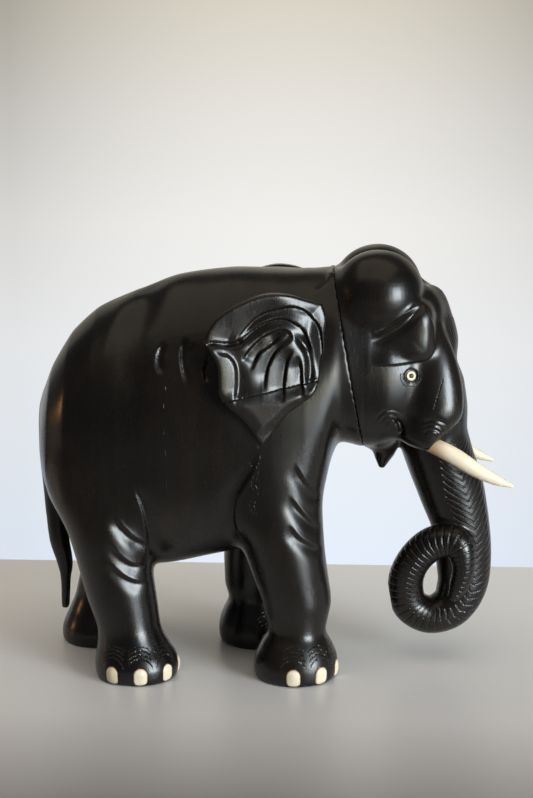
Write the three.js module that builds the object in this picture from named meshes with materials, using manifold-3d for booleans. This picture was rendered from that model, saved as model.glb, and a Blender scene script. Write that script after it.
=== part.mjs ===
// A carved ebony elephant, walking, with tusks, toenails and eyes of bone.
// Millimetres. +X is forward, +Y is the elephant's left and +Z is up. It stands on z = 0.

import * as THREE from 'three';
import { mergeVertices } from 'three/addons/utils/BufferGeometryUtils.js';
import Module from 'manifold-3d';

const wasm = await Module();
wasm.setup();

// ---------------------------------------------------------------- driving dimensions

const GAP = 0.3; // glue line between two pieces
const WELD = 1e-3; // vertices closer than this are one
const SIDE_FACETS = {
  torso: 40,
  leg: 20,
  trunk: 18,
  tail: 10,
  tusk: 12,
  head: 28,
  jaw: 14,
  cheek: 14,
  bar: 20,
};
const BALL_FACETS = { around: 24, down: 14 };
const EAR_CURVE_FACETS = 3; // between two points of the outline
const NAIL_ARCH_FACETS = 5;
const HALF_SPACE_SIZE = 800; // wider than the elephant is long

// The sections of a limb are rows of [x, y, z, half width, half depth].
const TORSO = [
  [-167.3, 0, 168, 10, 18],
  [-164.8, 0, 164.5, 27, 33],
  [-157, 0, 165, 43.5, 52.5],
  [-143.5, 0, 167.5, 56, 71.5],
  [-125, 0, 169.5, 63, 86.2],
  [-98, 0, 169.8, 66.5, 98.3],
  [-65, 0, 177.5, 67.5, 102.8],
  [-30, 0, 183.5, 67, 101],
  [0, 0, 187.5, 65, 97],
  [22, 0, 195, 60.5, 89],
  [34, 0, 208, 57, 76.5],
  [45, 0, 223.5, 53, 61.5],
  [60, 0, 219.5, 50, 60],
];
const TORSO_SQUARENESS = 2.25;
const TORSO_EGG = 0.06; // how much narrower the back is than the belly

// The legs of the right side. The left ones step back, most at the sole.
const STEP = {
  front: { sole: 30, inwards: 0, knee: 8, fadeHeight: 180 },
  rear: { sole: 37, inwards: 6, knee: 0, fadeHeight: 105 },
};
const KNEE_SPAN = 110; // the knee's own shift is at its most at half this height
const FRONT_LEG = [
  [15.5, 38, 0, 27.5, 27.5],
  [15.5, 38, 3, 29, 29.2],
  [15.5, 38, 9, 29.3, 29.6],
  [15.8, 38, 16, 28, 28.5],
  [16, 38, 24, 24.2, 25],
  [16.3, 37.5, 34, 20, 20.4],
  [16, 37, 44, 21, 22.4],
  [16, 37, 54, 22.6, 24],
  [12.5, 37, 70, 24, 26],
  [7, 37, 92, 26, 28.8],
  [0, 37, 118, 27.5, 34],
  [-1, 36, 146, 26.5, 35],
  [0, 33, 176, 22, 34],
  [0, 26, 206, 14, 25],
];
const REAR_LEG = [
  [-96.5, 42, 0, 27.5, 27.5],
  [-96.5, 42, 3, 29, 29],
  [-96.5, 42, 9, 29.3, 29.4],
  [-97.2, 42, 16, 27.4, 28],
  [-99, 42, 24, 24, 25],
  [-102, 41.5, 36, 21.8, 22.4],
  [-106.5, 41, 56, 22.8, 24.2],
  [-111.5, 40, 82, 25, 26.4],
  [-115, 39, 106, 27.5, 30],
  [-121, 36.5, 128, 27, 33],
  [-126, 31, 152, 25, 32],
  [-124, 26, 182, 16, 26],
];

const TAIL = [
  [-152, 0, 200, 9, 9],
  [-160, 0, 184, 8.5, 8.5],
  [-163, 0, 160, 7, 7],
  [-162, 0, 130, 6.5, 6.5],
  [-159.5, 0, 106, 6.5, 7.5],
  [-157.5, 0, 86, 6.5, 7.4],
  [-153.8, 0, 68, 5, 6],
  [-153.6, 0, 56, 4.5, 3.6],
  [-154.2, 0, 34, 3.5, 2.8],
];

const SKULL = [
  [30, 0, 222, 50, 60],
  [46, 0, 222, 52, 60],
  [64, 0, 217.8, 51, 59.3],
  [78, 0, 213.5, 49, 53.5],
  [92, 0, 216, 44, 48],
  [103, 0, 222, 36, 40],
  [112, 0, 227, 25, 29],
  [117, 0, 229, 12, 15],
];
const DOME = { at: [71, 22, 269.6], half: [31, 30, 29.4] };
const BROW = { at: [84, 25, 246], half: [25.5, 21.5, 22.5] };

const CHEEK = [
  [104, 22, 246, 8, 10],
  [108, 26, 228, 12, 15],
  [110, 29, 208, 14, 19],
  [110, 31, 192, 14, 20],
  [107, 32, 180, 12.5, 14],
  [104, 32, 173, 8, 8],
];
const JAW = [
  [66, 0, 182, 30, 16],
  [72, 0, 166, 20, 12],
  [74.5, 0, 154, 11, 7.5],
  [75, 0, 141.5, 2.5, 2],
];

// The trunk hangs, curls back under itself and crosses its own right side.
const TRUNK = [
  [97, 0, 268, 14, 5],
  [104, 0, 262, 18, 13.5],
  [106, 0, 248, 21, 18],
  [107, 0, 234, 24, 20.5],
  [107.5, 0, 220, 26, 19.5],
  [109, 0, 204, 29, 23.5],
  [110, 0, 186, 30, 25],
  [111, 0, 168, 28, 24.5],
  [116, 0, 151, 25.5, 24],
  [125, 0, 126, 22.5, 23.2],
  [132.3, 0, 99, 20, 20.4],
  [134.5, 0, 76, 18, 19.8],
  [134, -1, 57, 16.5, 18],
  [126, -3, 41, 15, 15.5],
  [111, -5, 35, 14.5, 13.6],
  [96.5, -8, 43.5, 13.5, 13],
  [93.2, -11, 62, 12.6, 12.6],
  [100, -15, 80, 11.8, 12],
  [114, -19, 92.7, 11.5, 12.2],
  [128, -22, 93, 10.5, 11.5],
  [133, -23.5, 78, 9, 8.5],
  [130, -23, 62, 7.4, 6.8],
  [125.5, -22, 52, 4.5, 3.6],
];

const TRUNK_STEPS_PER_ROW = 2;
const TRUNK_SPLIT = 28; // ring, under the coil

// The ear in side view, as runs of [x, z] that meet in corners, and its tilt outwards.
const EAR_RUNS = [
  [[-44.7, 243], [-40.3, 253.2], [-33.6, 261], [-17.1, 270], [-2.9, 273.9], [11.3, 272.9], [22, 269.5], [33, 266]],
  [[33, 266], [36, 256], [34.5, 245], [34.3, 232.6], [32.2, 215.7], [26.7, 204.4], [10.1, 191.7], [-6.4, 171]],
  [[-6.4, 171], [-17.5, 188], [-31.5, 201.5], [-34.7, 207], [-36.2, 228], [-44.7, 243]],
];
const EAR_THICKNESS = 12;
const EAR_FRONT = { x: 36, y: 64 }; // its outer face at the front edge
const EAR_REAR = { x: -45, y: 79 }; // and at the rear point
const EAR_LIFT = { right: 0, left: 6 }; // the left ear sits higher
const EAR_CRACK = { at: [-31.9, 0, 201.9], slope: 0.2 }; // glue line of the right ear's tip

const NECK_JOINT = { at: [61.5, 0, 165], lean: 0.179 }; // x falls by lean for each mm of height
const DOWEL = { radius: 6, length: 44, heights: { neck_dowel_upper: 244, neck_dowel_lower: 198 } };

const TUSK = [
  [90, 30, 173.5, 5, 5],
  [107, 34, 167, 5.5, 5.5],
  [123.3, 37.3, 159.6, 5.8, 5.8],
  [139.5, 39.5, 149.8, 5.1, 5.1],
  [153.5, 40.3, 143, 3.5, 3.5],
  [164.7, 40, 138.8, 1.2, 1.2],
];

const TUSK_SET_BACK = { right: 0, left: 7 }; // the left tusk sits deeper in its socket

// A ring of bone in a blind socket, with a pupil in the ring's bore.
const EYE = {
  at: [93.3, 43, 215.8],
  out: [0.32, 1, 0.12],
  radius: 3.3,
  bore: 1.35,
  boreDepth: 2.4,
  socketDepth: 4.5,
  ringProud: 0.6,
  pupilProud: 0.8,
  cutterReach: 10, // how far the socket's cutter runs out of the head
};

// cutterReach is how far a nail's arch runs past the foot before the foot's surface trims it.
const NAIL = { width: 10, height: 12.6, bottom: 0.8, depth: 4, proud: 0.5, cutterReach: 8 };
const WIDEST_FOOT_ROW = 2;
const NAIL_TURNS = {
  front: { step: 41, middle: 81, count: 5 }, // degrees, from straight outwards towards the front
  rear: { step: 42, middle: 33, count: 4 },
};

const SIDES = { right: -1, left: 1 };

const EBONY = new THREE.MeshStandardMaterial({ color: 0x17130f, roughness: 0.3, metalness: 0 });
const BONE = new THREE.MeshStandardMaterial({ color: 0xe8d6b0, roughness: 0.45, metalness: 0 });
const DOWEL_WOOD = new THREE.MeshStandardMaterial({ color: 0x9a7b52, roughness: 0.7, metalness: 0 });

// ---------------------------------------------------------------- solids

const UP = new THREE.Vector3(0, 0, 1);
const FORWARD = new THREE.Vector3(1, 0, 0);
const ACROSS = new THREE.Vector3(0, 1, 0);

function weld(geometry) {
  geometry.deleteAttribute('normal');
  geometry.deleteAttribute('uv');
  return mergeVertices(geometry, WELD);
}

function toSolid(geometry) {
  const welded = weld(geometry);
  const corners = welded.index.array;
  const triVerts = [];
  for (let i = 0; i < corners.length; i += 3) {
    const [a, b, c] = corners.slice(i, i + 3);
    if (a !== b && b !== c && c !== a) {
      triVerts.push(a, b, c);
    }
  }
  return new wasm.Manifold(new wasm.Mesh({
    numProp: 3,
    vertProperties: new Float32Array(welded.attributes.position.array),
    triVerts: new Uint32Array(triVerts),
  }));
}

function toGeometry(solid) {
  const { vertProperties, triVerts } = solid.getMesh();
  const geometry = new THREE.BufferGeometry();
  geometry.setAttribute('position', new THREE.BufferAttribute(new Float32Array(vertProperties), 3));
  geometry.setIndex(new THREE.BufferAttribute(new Uint32Array(triVerts), 1));
  geometry.computeVertexNormals();
  return geometry;
}

function union(solids) {
  return solids.reduce((whole, solid) => whole.add(solid));
}

function mirrored(rows) {
  return rows.map(([x, y, z, ...sizes]) => [x, -y, z, ...sizes]);
}

function signedPower(value, power) {
  return Math.sign(value) * Math.abs(value) ** power;
}

// A closed skin through oval sections: a cylinder whose rings are moved onto the sections.
// The sections face the way the limb runs, or all face one way. A span makes only some rings.
function limb(rows, options) {
  const { sides, stepsPerRow = 2, facing = null, squareness = 2, egg = 0, grow = 0, span = null } = options;
  const spine = new THREE.CatmullRomCurve3(rows.map(([x, y, z]) => new THREE.Vector3(x, y, z)));
  const girth = new THREE.CatmullRomCurve3(rows.map((row) => new THREE.Vector3(row[3], row[4], 0)));
  const ringCount = (rows.length - 1) * stepsPerRow;
  const [first, last] = span ?? [0, ringCount];
  const skin = new THREE.CylinderGeometry(1, 1, 1, sides, last - first);
  const position = skin.attributes.position;
  const place = new THREE.Vector3();
  for (let i = 0; i < position.count; i += 1) {
    const t = (first + Math.round((0.5 - position.getY(i)) * (last - first))) / ringCount;
    const reach = Math.min(1, Math.hypot(position.getX(i), position.getZ(i)));
    const turn = Math.atan2(position.getZ(i), position.getX(i));
    const along = facing ? facing.clone() : spine.getTangent(t);
    const side = ACROSS.clone().addScaledVector(along, -ACROSS.dot(along)).normalize();
    const rise = along.clone().cross(side);
    const size = girth.getPoint(t);
    const width = (size.x + grow) * signedPower(Math.cos(turn), 2 / squareness);
    const depth = (size.y + grow) * signedPower(Math.sin(turn), 2 / squareness);
    place.copy(spine.getPoint(t));
    place.addScaledVector(side, reach * width * (1 - egg * Math.sin(turn)));
    place.addScaledVector(rise, reach * depth);
    position.setXYZ(i, place.x, place.y, place.z);
  }
  return toSolid(outward(skin));
}

// Turns a closed skin's faces outwards where they point in.
function outward(skin) {
  const welded = weld(skin);
  const { position } = welded.attributes;
  const index = welded.index.array;
  const corner = [new THREE.Vector3(), new THREE.Vector3(), new THREE.Vector3()];
  let volume = 0;
  for (let i = 0; i < index.length; i += 3) {
    corner.forEach((point, k) => point.fromBufferAttribute(position, index[i + k]));
    volume += corner[0].dot(corner[1].clone().cross(corner[2]));
  }
  if (volume < 0) {
    for (let i = 0; i < index.length; i += 3) {
      [index[i + 1], index[i + 2]] = [index[i + 2], index[i + 1]];
    }
  }
  return welded;
}

function ball({ at, half }, side) {
  const geometry = new THREE.SphereGeometry(1, BALL_FACETS.around, BALL_FACETS.down);
  geometry.rotateX(Math.PI / 2);
  geometry.scale(...half);
  geometry.translate(at[0], side * at[1], at[2]);
  return toSolid(geometry);
}

// Everything on the far side of a plane from where its normal points.
function halfSpace(point, normal) {
  const block = new THREE.BoxGeometry(HALF_SPACE_SIZE, HALF_SPACE_SIZE, HALF_SPACE_SIZE);
  block.translate(0, 0, -HALF_SPACE_SIZE / 2);
  block.applyQuaternion(new THREE.Quaternion().setFromUnitVectors(UP, normal.clone().normalize()));
  block.translate(...point);
  return toSolid(block);
}

// The two sides of a glue line: what lies under it and what lies over it.
function partedAt(point, normal) {
  const under = point.clone().addScaledVector(normal, -GAP / 2);
  const over = point.clone().addScaledVector(normal, GAP / 2);
  return [halfSpace(under, normal), halfSpace(over, normal.clone().negate())];
}

// A round bar along a direction, from behind a point to ahead of it.
function bar(point, direction, radius, behind, ahead) {
  const length = behind + ahead;
  const geometry = new THREE.CylinderGeometry(radius, radius, length, SIDE_FACETS.bar);
  geometry.translate(0, (ahead - behind) / 2, 0);
  geometry.applyQuaternion(new THREE.Quaternion().setFromUnitVectors(ACROSS, direction.clone().normalize()));
  geometry.translate(...point);
  return toSolid(geometry);
}

// ---------------------------------------------------------------- legs and nails

// side is -1 on the right, +1 on the left.
function legRows(rows, side, step) {
  return rows.map(([x, y, z, width, depth]) => {
    const fade = Math.cos((Math.PI / 2) * Math.min(1, z / step.fadeHeight)) ** 2;
    const knee = Math.sin(Math.PI * Math.min(1, z / KNEE_SPAN)) ** 2;
    const left = side > 0 ? 1 : 0;
    const back = left * (step.sole * fade + step.knee * knee);
    return [x - back, side * (y - left * step.inwards * fade), z, width, depth];
  });
}

function leg(rows, grow = 0) {
  return limb(rows, { sides: SIDE_FACETS.leg, stepsPerRow: 1, facing: UP, grow });
}

// An arched peg that points out of the foot, in the direction of turn.
function nailPeg(foot, side, turn, clearance) {
  const [x, y, , , footRadius] = foot;
  const half = NAIL.width / 2 + clearance;
  const low = NAIL.bottom - clearance;
  const spring = NAIL.bottom + NAIL.height - NAIL.width / 2;
  const arch = new THREE.Shape();
  arch.moveTo(-half, low);
  arch.lineTo(half, low);
  arch.lineTo(half, spring);
  arch.absarc(0, spring, half, 0, Math.PI, false);
  arch.closePath();
  const inner = footRadius - NAIL.depth - clearance;
  const peg = new THREE.ExtrudeGeometry(arch, {
    depth: NAIL.depth + NAIL.cutterReach,
    bevelEnabled: false,
    curveSegments: NAIL_ARCH_FACETS,
  });
  peg.rotateX(Math.PI / 2);
  peg.translate(0, -inner, 0);
  const angle = THREE.MathUtils.degToRad(turn);
  peg.rotateZ(side < 0 ? angle : Math.PI - angle);
  peg.translate(x, y, 0);
  return toSolid(peg);
}

const FEET = [
  { name: 'right_front', rows: legRows(FRONT_LEG, -1, STEP.front), side: -1, nails: NAIL_TURNS.front },
  { name: 'left_front', rows: legRows(FRONT_LEG, 1, STEP.front), side: 1, nails: NAIL_TURNS.front },
  { name: 'right_rear', rows: legRows(REAR_LEG, -1, STEP.rear), side: -1, nails: NAIL_TURNS.rear },
  { name: 'left_rear', rows: legRows(REAR_LEG, 1, STEP.rear), side: 1, nails: NAIL_TURNS.rear },
];

function nailTurns({ step, middle, count }) {
  return Array.from({ length: count }, (_, i) => middle + step * (i - (count - 1) / 2));
}

const nails = [];
const nailPockets = [];
for (const { name, rows, side, nails: layout } of FEET) {
  const foot = rows[WIDEST_FOOT_ROW];
  const raised = leg(rows, NAIL.proud);
  nailTurns(layout).forEach((turn, i) => {
    nails.push({ name: `${name}_toenail_${i + 1}`, solid: nailPeg(foot, side, turn, 0).intersect(raised) });
    nailPockets.push(nailPeg(foot, side, turn, GAP));
  });
}

// ---------------------------------------------------------------- ears

function earPlate(side, clearance) {
  const shape = new THREE.Shape();
  shape.moveTo(...EAR_RUNS[0][0]);
  for (const run of EAR_RUNS) {
    shape.splineThru(run.slice(1).map(([x, z]) => new THREE.Vector2(x, z)));
  }
  const plate = new THREE.ExtrudeGeometry(shape, {
    depth: EAR_THICKNESS,
    bevelEnabled: clearance > 0,
    bevelThickness: clearance,
    bevelSize: clearance,
    bevelSegments: 1,
    curveSegments: EAR_CURVE_FACETS,
  });
  plate.rotateX(Math.PI / 2); // now its outer face looks to -Y
  if (side > 0) {
    plate.scale(1, -1, 1);
  }
  plate.translate(0, 0, side > 0 ? EAR_LIFT.left : EAR_LIFT.right);
  const { position } = plate.attributes;
  const tilt = (EAR_REAR.y - EAR_FRONT.y) / (EAR_REAR.x - EAR_FRONT.x);
  for (let i = 0; i < position.count; i += 1) {
    const outwards = EAR_FRONT.y - EAR_THICKNESS + tilt * (position.getX(i) - EAR_FRONT.x);
    position.setY(i, position.getY(i) + side * outwards);
  }
  return toSolid(outward(plate));
}

const crackNormal = new THREE.Vector3(-EAR_CRACK.slope, 0, 1).normalize();
const [underCrack, overCrack] = partedAt(new THREE.Vector3(...EAR_CRACK.at), crackNormal);

// ---------------------------------------------------------------- head

const jointNormal = new THREE.Vector3(1, 0, NECK_JOINT.lean).normalize();
const [behindJoint, aheadOfJoint] = partedAt(new THREE.Vector3(...NECK_JOINT.at), jointNormal);

function tusk(side, grow, rootTrim) {
  const back = side < 0 ? TUSK_SET_BACK.right : TUSK_SET_BACK.left;
  const rows = TUSK.map(([x, y, z, ...sizes]) => [x - back, side * y, z, ...sizes]);
  const root = new THREE.Vector3(...rows[0].slice(0, 3));
  const along = new THREE.Vector3(...rows[1].slice(0, 3)).sub(root).normalize();
  const whole = limb(rows, { sides: SIDE_FACETS.tusk, stepsPerRow: 2, grow });
  return rootTrim ? whole.subtract(halfSpace(root.addScaledVector(along, rootTrim), along)) : whole;
}

function eyeAxis(side) {
  return new THREE.Vector3(EYE.out[0], side * EYE.out[1], EYE.out[2]).normalize();
}

function eyePoint(side) {
  return new THREE.Vector3(EYE.at[0], side * EYE.at[1], EYE.at[2]);
}

function eyeBar(side, radius, behind, ahead) {
  return bar(eyePoint(side), eyeAxis(side), radius, behind, ahead);
}

function dowel(height, grow) {
  const x = NECK_JOINT.at[0] - NECK_JOINT.lean * (height - NECK_JOINT.at[2]);
  const half = DOWEL.length / 2 + grow;
  return bar(new THREE.Vector3(x, 0, height), FORWARD, DOWEL.radius + grow, half, half);
}

const dowelHoles = Object.values(DOWEL.heights).map((height) => dowel(height, GAP));

// The tip crosses the hanging part, so the trunk is two limbs that meet at one ring.
function trunk() {
  const end = (TRUNK.length - 1) * TRUNK_STEPS_PER_ROW;
  return [[0, TRUNK_SPLIT], [TRUNK_SPLIT, end]].map((span) => (
    limb(TRUNK, { sides: SIDE_FACETS.trunk, stepsPerRow: TRUNK_STEPS_PER_ROW, span })
  ));
}

function headBlock() {
  const parts = [
    limb(SKULL, { sides: SIDE_FACETS.head, facing: FORWARD, squareness: 2.2 }),
    ...trunk(),
    limb(JAW, { sides: SIDE_FACETS.jaw }),
  ];
  for (const side of Object.values(SIDES)) {
    const cheek = side < 0 ? mirrored(CHEEK) : CHEEK;
    parts.push(ball(DOME, side), ball(BROW, side), limb(cheek, { sides: SIDE_FACETS.cheek }));
  }
  const cuts = [...dowelHoles];
  for (const side of Object.values(SIDES)) {
    cuts.push(tusk(side, GAP, 0), eyeBar(side, EYE.radius + GAP, EYE.socketDepth, EYE.cutterReach));
  }
  return union(parts).intersect(aheadOfJoint).subtract(union(cuts));
}

function eyeRing(side) {
  const ring = eyeBar(side, EYE.radius, EYE.socketDepth - GAP, EYE.ringProud);
  return ring.subtract(eyeBar(side, EYE.bore, EYE.boreDepth, EYE.cutterReach));
}

function eyePupil(side) {
  return eyeBar(side, EYE.bore - GAP, EYE.boreDepth - GAP, EYE.pupilProud);
}

// ---------------------------------------------------------------- body

function bodyBlock() {
  const legs = FEET.map(({ rows }) => leg(rows));
  const torso = limb(TORSO, {
    sides: SIDE_FACETS.torso,
    facing: FORWARD,
    squareness: TORSO_SQUARENESS,
    egg: TORSO_EGG,
  });
  const tail = limb(TAIL, { sides: SIDE_FACETS.tail });
  const seats = Object.values(SIDES).map((side) => earPlate(side, GAP));
  return union([torso, tail, ...legs])
    .intersect(behindJoint)
    .subtract(union([...nailPockets, ...seats, ...dowelHoles]));
}

// ---------------------------------------------------------------- the elephant

const elephant = new THREE.Group();

function place(name, solid, material) {
  const mesh = new THREE.Mesh(toGeometry(solid), material);
  mesh.name = name;
  elephant.add(mesh);
}

place('body_block', bodyBlock(), EBONY);
place('head_block', headBlock(), EBONY);
place('right_ear', earPlate(SIDES.right, 0).intersect(overCrack), EBONY);
place('right_ear_tip', earPlate(SIDES.right, 0).intersect(underCrack), EBONY);
place('left_ear', earPlate(SIDES.left, 0), EBONY);
for (const [name, height] of Object.entries(DOWEL.heights)) {
  place(name, dowel(height, 0), DOWEL_WOOD);
}
for (const [word, side] of Object.entries(SIDES)) {
  place(`${word}_tusk`, tusk(side, 0, GAP), BONE);
  place(`${word}_eye_ring`, eyeRing(side), BONE);
  place(`${word}_eye_pupil`, eyePupil(side), EBONY);
}
for (const { name, solid } of nails) {
  place(name, solid, BONE);
}

// The origin is the middle of the bounding box's underside.
const bounds = new THREE.Box3().setFromObject(elephant, true);
const middle = bounds.getCenter(new THREE.Vector3());
elephant.position.set(-middle.x, -middle.y, -bounds.min.z);

export default elephant;
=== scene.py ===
"""The looks of a carved ebony elephant: sculpted wood, bone inlays, a pale table and window light."""

import math

import bpy
import numpy as np
import openvdb
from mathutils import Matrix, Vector


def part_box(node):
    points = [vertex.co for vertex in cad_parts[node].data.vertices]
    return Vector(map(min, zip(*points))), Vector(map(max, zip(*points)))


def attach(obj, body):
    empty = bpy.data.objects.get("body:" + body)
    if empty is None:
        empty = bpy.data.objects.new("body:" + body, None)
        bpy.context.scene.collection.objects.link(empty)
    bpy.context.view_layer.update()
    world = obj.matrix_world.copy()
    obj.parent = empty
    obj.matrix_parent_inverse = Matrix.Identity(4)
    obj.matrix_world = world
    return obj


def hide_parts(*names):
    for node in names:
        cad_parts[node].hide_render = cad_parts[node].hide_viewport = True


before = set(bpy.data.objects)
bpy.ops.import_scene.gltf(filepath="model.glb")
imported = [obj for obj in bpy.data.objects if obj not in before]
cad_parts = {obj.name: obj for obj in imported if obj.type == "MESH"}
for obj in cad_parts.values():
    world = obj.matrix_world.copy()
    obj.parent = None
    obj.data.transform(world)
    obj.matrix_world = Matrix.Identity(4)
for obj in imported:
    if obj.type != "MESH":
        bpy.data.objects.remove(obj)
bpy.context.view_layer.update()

# ------ driving dimensions
# Millimetres. +X is forward, +Y is the elephant's left, +Z is up. The carver's x starts at the
# withers, and the frame's x at the middle of the model: the upper neck dowel lies in both.

MM = 0.001
NECK_JOINT = {"x": 61.5, "z": 165.0, "lean": 0.179}
UPPER_DOWEL_HEIGHT = 244.0


def joint_x(z):
    """Where the neck joint lies at a height, in the carver's x."""
    return NECK_JOINT["x"] - NECK_JOINT["lean"] * (z - NECK_JOINT["z"])


DOWEL_LOW, DOWEL_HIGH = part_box("neck_dowel_upper")
OFFSET = np.array([(DOWEL_LOW.x + DOWEL_HIGH.x) / 2 / MM - joint_x(UPPER_DOWEL_HEIGHT), 0, 0])

# Each block of wood starts as a grid: its voxel, and a box with its low and its high corner.
BODY_VOXEL, BODY_BOX = 1.2, ((-176, -76, -4), (68, 76, 305))
HEAD_VOXEL, HEAD_BOX = 0.8, ((34, -62, 16), (164, 62, 305))
EAR_VOXEL, EAR_BOX = 0.6, ((-48, -1.8, 167), (39.6, 15.6, 277.2))
NAIL_VOXEL, NAIL_BOX = 0.4, ((-7, 0, -1), (7, 9, 15))
GLUE_GAP = 0.12
RIGHT, LEFT = -1, 1
SIDES = {"right": RIGHT, "left": LEFT}

# Sections: rows of x, y, z, half width, half depth.
TORSO = [
    (-167.3, 0, 168, 10, 18), (-164.8, 0, 164.5, 27, 33), (-157, 0, 165, 43.5, 52.5),
    (-143.5, 0, 167.5, 56, 71.5), (-125, 0, 169.5, 63, 86.2), (-98, 0, 169.8, 66.5, 98.3),
    (-65, 0, 177.5, 67.5, 102.8), (-30, 0, 183.5, 67, 101), (0, 0, 187.5, 65, 97),
    (22, 0, 195, 60.5, 89), (34, 0, 208, 57, 76.5), (45, 0, 223.5, 53, 61.5),
    (60, 0, 219.5, 50, 60),
]
FRONT_LEG = [
    (15.5, 38, 0, 27.5, 27.5), (15.5, 38, 3, 29, 29.2), (15.5, 38, 9, 29.3, 29.6),
    (15.8, 38, 16, 28, 28.5), (16, 38, 24, 24.2, 25), (16.3, 37.5, 34, 20, 20.4),
    (16, 37, 44, 21, 22.4), (16, 37, 54, 22.6, 24), (12.5, 37, 70, 24, 26),
    (7, 37, 92, 26, 28.8), (0, 37, 118, 27.5, 34), (-1, 36, 146, 26.5, 35),
    (0, 33, 176, 22, 34), (0, 26, 206, 14, 25),
]
REAR_LEG = [
    (-96.5, 42, 0, 27.5, 27.5), (-96.5, 42, 3, 29, 29), (-96.5, 42, 9, 29.3, 29.4),
    (-97.2, 42, 16, 27.4, 28), (-99, 42, 24, 24, 25), (-102, 41.5, 36, 21.8, 22.4),
    (-106.5, 41, 56, 22.8, 24.2), (-111.5, 40, 82, 25, 26.4), (-115, 39, 106, 27.5, 30),
    (-121, 36.5, 128, 27, 33), (-126, 31, 152, 25, 32), (-124, 26, 182, 16, 26),
]
TAIL = [
    (-152, 0, 200, 9, 9), (-160, 0, 184, 8.5, 8.5), (-163, 0, 160, 7, 7),
    (-162, 0, 130, 6.5, 6.5), (-159.5, 0, 106, 6.5, 7.5), (-157.5, 0, 86, 6.5, 7.4),
    (-153.8, 0, 68, 5, 6), (-153.6, 0, 56, 4.5, 3.6), (-154.2, 0, 34, 3.5, 2.8),
]
SKULL = [
    (30, 0, 222, 50, 60), (46, 0, 222, 52, 60), (64, 0, 217.8, 51, 59.3),
    (78, 0, 213.5, 49, 53.5), (92, 0, 216, 44, 48), (103, 0, 222, 36, 40),
    (112, 0, 227, 25, 29), (117, 0, 229, 12, 15),
]
CHEEK = [
    (104, 22, 246, 8, 10), (108, 26, 228, 12, 15), (110, 29, 208, 14, 19),
    (110, 31, 192, 14, 20), (107, 32, 180, 12.5, 14), (104, 32, 173, 8, 8),
]
JAW = [
    (68, 0, 182, 30, 17), (74.5, 0, 166, 18, 14), (76.5, 0, 156, 11, 9.5), (75.8, 0, 148, 6, 5.3),
    (75, 0, 141.8, 2, 1.8),
]
TRUNK = [
    (97, 0, 268, 14, 5), (104, 0, 262, 18, 13.5), (106, 0, 248, 21, 18),
    (107, 0, 234, 24, 20.5), (107.5, 0, 220, 26, 19.5), (109, 0, 204, 29, 23.5),
    (110, 0, 186, 30, 25), (111, 0, 168, 28, 24.5), (116, 0, 151, 25.5, 24),
    (125, 0, 126, 22.5, 23.2), (132.3, 0, 99, 20, 20.4), (134.5, 0, 76, 18, 19.8),
    (134, -1, 57, 16.5, 18), (126, -3, 41, 15, 15.5), (111, -5, 35, 14.5, 13.6),
    (96.5, -8, 43.5, 13.5, 13), (93.2, -11, 62, 12.6, 12.6), (100, -15, 80, 11.8, 12),
    (114, -19, 92.7, 11.5, 12.2), (128, -22, 93, 10.5, 11.5), (133, -23.5, 78, 9, 8.5),
    (130, -23, 62, 7.4, 6.8), (125.5, -22, 52, 4.5, 3.6),
]
DOME = {"at": (71, 22, 269.6), "half": (31, 30, 29.4)}
BROW = {"at": (84, 25, 246), "half": (25.5, 21.5, 22.5)}
TEMPLE = {"at": (98, 15, 254), "half": (18, 17, 21)}
SLEEVE = [
    (86, 26, 181, 9, 9), (97, 31, 174, 10, 9.5), (105, 34, 170, 8.6, 8.2),
    (109.5, 35, 168, 6.4, 6.2),
]
TUSK = [
    (90, 30, 173.5, 5, 5), (107, 34, 167, 5.5, 5.5), (123.3, 37.3, 159.6, 5.8, 5.8),
    (139.5, 39.5, 149.8, 5.1, 5.1), (153.5, 40.3, 143, 3.5, 3.5), (164.7, 40, 138.8, 1.2, 1.2),
]
TUSK_SET_BACK = {RIGHT: 0, LEFT: 7}
# Millimetres from a tusk's root over which it is painted darker, as painted shade at its socket.
TUSK_SHADE_SPAN = 15

# How far the left legs step back and inwards at the sole and the knee, fading out over a height.
STEP = {
    "front": {"sole": 30, "inwards": 0, "knee": 8, "fade": 180},
    "rear": {"sole": 37, "inwards": 6, "knee": 0, "fade": 105},
}
KNEE_SPAN = 110

# ------ curves and skins


def spline(points, t):
    """Points of a centripetal Catmull-Rom curve through the given ones, t from 0 to 1."""
    points = np.asarray(points, float)
    last = len(points) - 1
    place = np.clip(np.atleast_1d(t), 0, 1) * last
    i = np.minimum(place.astype(int), last - 1)
    w = (place - i)[:, None]
    ends = np.vstack([2 * points[0] - points[1], points, 2 * points[-1] - points[-2]])
    p0, p1, p2, p3 = (ends[i + k] for k in range(4))

    def knot(a, b):
        return np.sqrt(np.linalg.norm(b - a, axis=1))[:, None]

    d1 = knot(p1, p2)
    d1 = np.where(d1 < 1e-3, 1, d1)
    d0 = np.where(knot(p0, p1) < 1e-3, d1, knot(p0, p1))
    d2 = np.where(knot(p2, p3) < 1e-3, d1, knot(p2, p3))
    start = ((p1 - p0) / d0 - (p2 - p0) / (d0 + d1) + (p2 - p1) / d1) * d1
    end = ((p2 - p1) / d1 - (p3 - p1) / (d1 + d2) + (p3 - p2) / d2) * d1
    square, cube = w * w, w * w * w
    return (
        p1 * (2 * cube - 3 * square + 1)
        + start * (cube - 2 * square + w)
        + p2 * (3 * square - 2 * cube)
        + end * (cube - square)
    )


def tangent(points, t):
    step = 1e-4
    along = spline(points, np.clip(t + step, 0, 1)) - spline(points, np.clip(t - step, 0, 1))
    return along / np.linalg.norm(along, axis=1)[:, None]


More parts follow.
